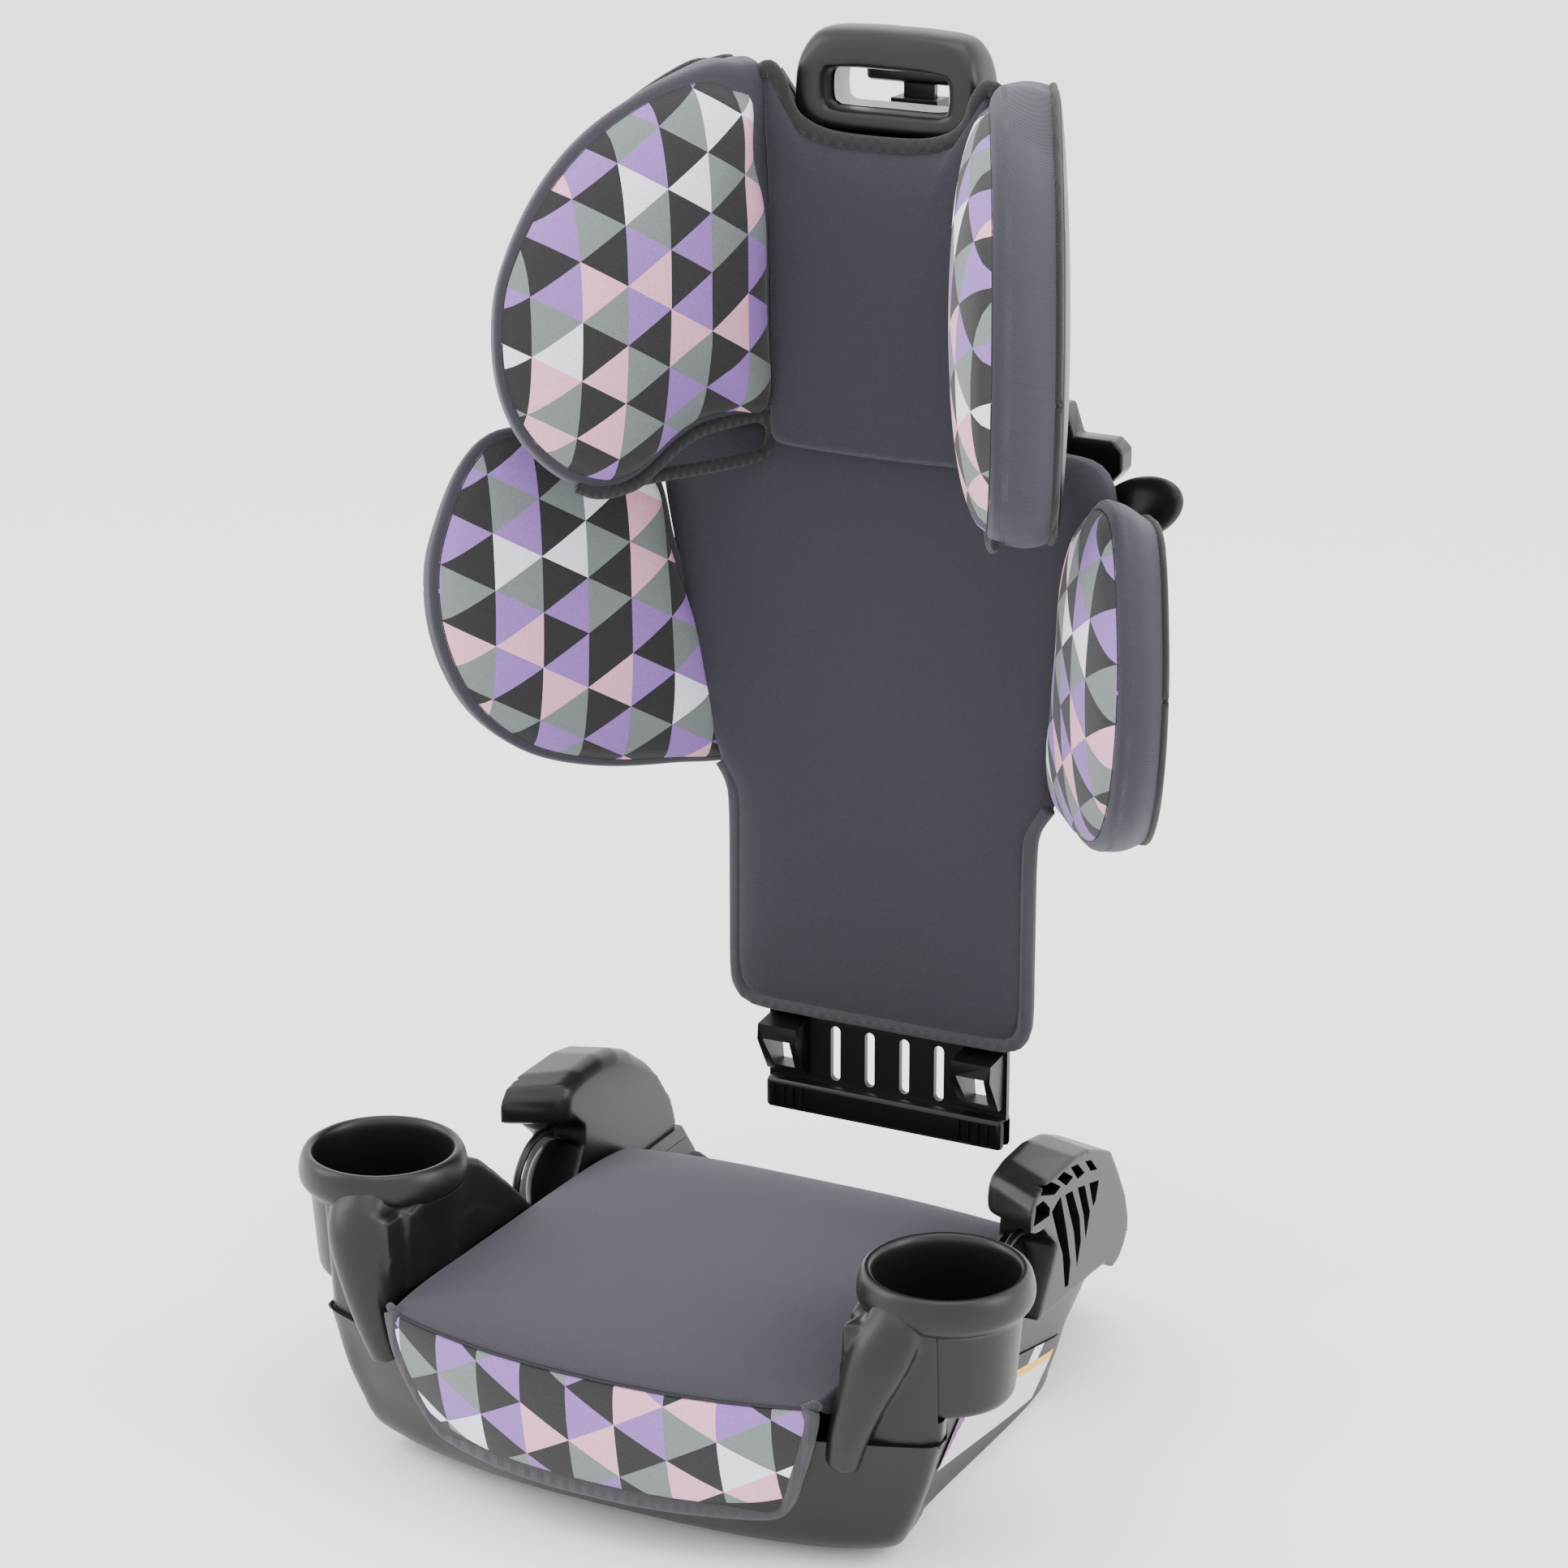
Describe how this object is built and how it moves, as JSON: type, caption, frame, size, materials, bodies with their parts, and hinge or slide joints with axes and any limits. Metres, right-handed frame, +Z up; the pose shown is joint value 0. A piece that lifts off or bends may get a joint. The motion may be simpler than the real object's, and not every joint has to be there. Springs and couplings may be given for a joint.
{
  "type": "booster seat",
  "caption": "High-back child booster: low base with cup holders and hooked armrests; winged, cloth-padded back on a hinge bar; sliding headrest with a carry handle.",
  "frame": {"origin": "on the floor, at the crossing of the two middle ribs under the base", "axes": "+Z up, the child faces -Y, X = 0 is the plane of symmetry"},
  "size_m": [0.4744, 0.4357, 0.7906],
  "materials": {
    "black_plastic": "moulded black, semi-matte",
    "guide_plastic": "moulded black, a little glossier",
    "grey_nylon": "grey nylon bush",
    "steel": "zinc-plated steel",
    "foam": "upholstery foam",
    "grey_cloth": "ribbed grey knit",
    "print_cloth": "triangle-print knit with grey knit sides",
    "label": "blank coated paper"
  },
  "bodies": {
    "base": {"base_shell": "black_plastic", "seat_deck": "black_plastic", "hinge_bush_left": "grey_nylon", "hinge_bush_right": "grey_nylon", "armrest_left": "black_plastic", "armrest_right": "black_plastic", "cup_bracket_left": "black_plastic", "cup_bracket_right": "black_plastic", "side_label_left": "label", "side_label_right": "label", "deck_screw_1": "steel", "deck_screw_2": "steel", "deck_screw_3": "steel", "deck_screw_4": "steel", "seat_foam": "foam", "seat_cover": "print_cloth"},
    "pivot_bar": {"hinge_bar": "steel"},
    "back": {"back_hook_plate": "black_plastic", "back_panel": "black_plastic", "back_pad": "grey_cloth", "back_foam": "foam", "height_rack_left": "black_plastic", "height_rack_right": "black_plastic", "lower_wing_skin_left": "black_plastic", "lower_wing_pad_left": "print_cloth", "lower_wing_foam_left": "foam", "lower_wing_skin_right": "black_plastic", "lower_wing_pad_right": "print_cloth", "lower_wing_foam_right": "foam", "back_screw_1": "steel", "back_screw_2": "steel", "back_screw_3": "steel", "back_screw_4": "steel"},
    "headrest": {"headrest_shell": "black_plastic", "headrest_front": "black_plastic", "headrest_pad": "grey_cloth", "headrest_foam": "foam", "carry_handle": "black_plastic", "belt_guide_left": "guide_plastic", "belt_guide_right": "guide_plastic", "head_wing_skin_left": "black_plastic", "head_wing_pad_left": "print_cloth", "head_wing_foam_left": "foam", "head_wing_skin_right": "black_plastic", "head_wing_pad_right": "print_cloth", "head_wing_foam_right": "foam", "headrest_screw_1": "steel", "headrest_screw_2": "steel", "headrest_screw_3": "steel", "headrest_screw_4": "steel"},
    "release": {"release_lever": "black_plastic"},
    "bolt_left": {"latch_bolt_left": "steel"},
    "bolt_right": {"latch_bolt_right": "steel"},
    "cup_left": {"cup_holder_left": "black_plastic"},
    "cup_right": {"cup_holder_right": "black_plastic"}
  },
  "joints": [
    {"name": "back_recline", "type": "hinge", "parent": "base", "child": "pivot_bar", "pos_m": [0, 0.1875, 0.03], "axis": [-1, 0, 0], "range_deg": [0, 8]},
    {"name": "back_lift", "type": "slide", "parent": "pivot_bar", "child": "back", "axis": [0, 0, 1], "range_m": [-0.09, 0]},
    {"name": "headrest_height", "type": "slide", "parent": "back", "child": "headrest", "axis": [0, 0, 1], "range_m": [0, 0.105]},
    {"name": "release_lever_pull", "type": "slide", "parent": "headrest", "child": "release", "axis": [0, 0, 1], "range_m": [0, 0.008], "stiffness_N_per_m": 600, "springref_m": -0.002},
    {"name": "latch_bolt_left_draw", "type": "slide", "parent": "headrest", "child": "bolt_left", "axis": [1, 0, 0], "range_m": [0, 0.004]},
    {"name": "latch_bolt_right_draw", "type": "slide", "parent": "headrest", "child": "bolt_right", "axis": [-1, 0, 0], "range_m": [0, 0.004]},
    {"name": "cup_left_lift", "type": "slide", "parent": "base", "child": "cup_left", "axis": [0, 0, 1], "range_m": [0, 0.085]},
    {"name": "cup_right_lift", "type": "slide", "parent": "base", "child": "cup_right", "axis": [0, 0, 1], "range_m": [0, 0.085]}
  ],
  "couplings": [
    {"joint": "latch_bolt_left_draw", "follows": "release_lever_pull", "ratio": 0.5},
    {"joint": "latch_bolt_right_draw", "follows": "release_lever_pull", "ratio": 0.5}
  ]
}
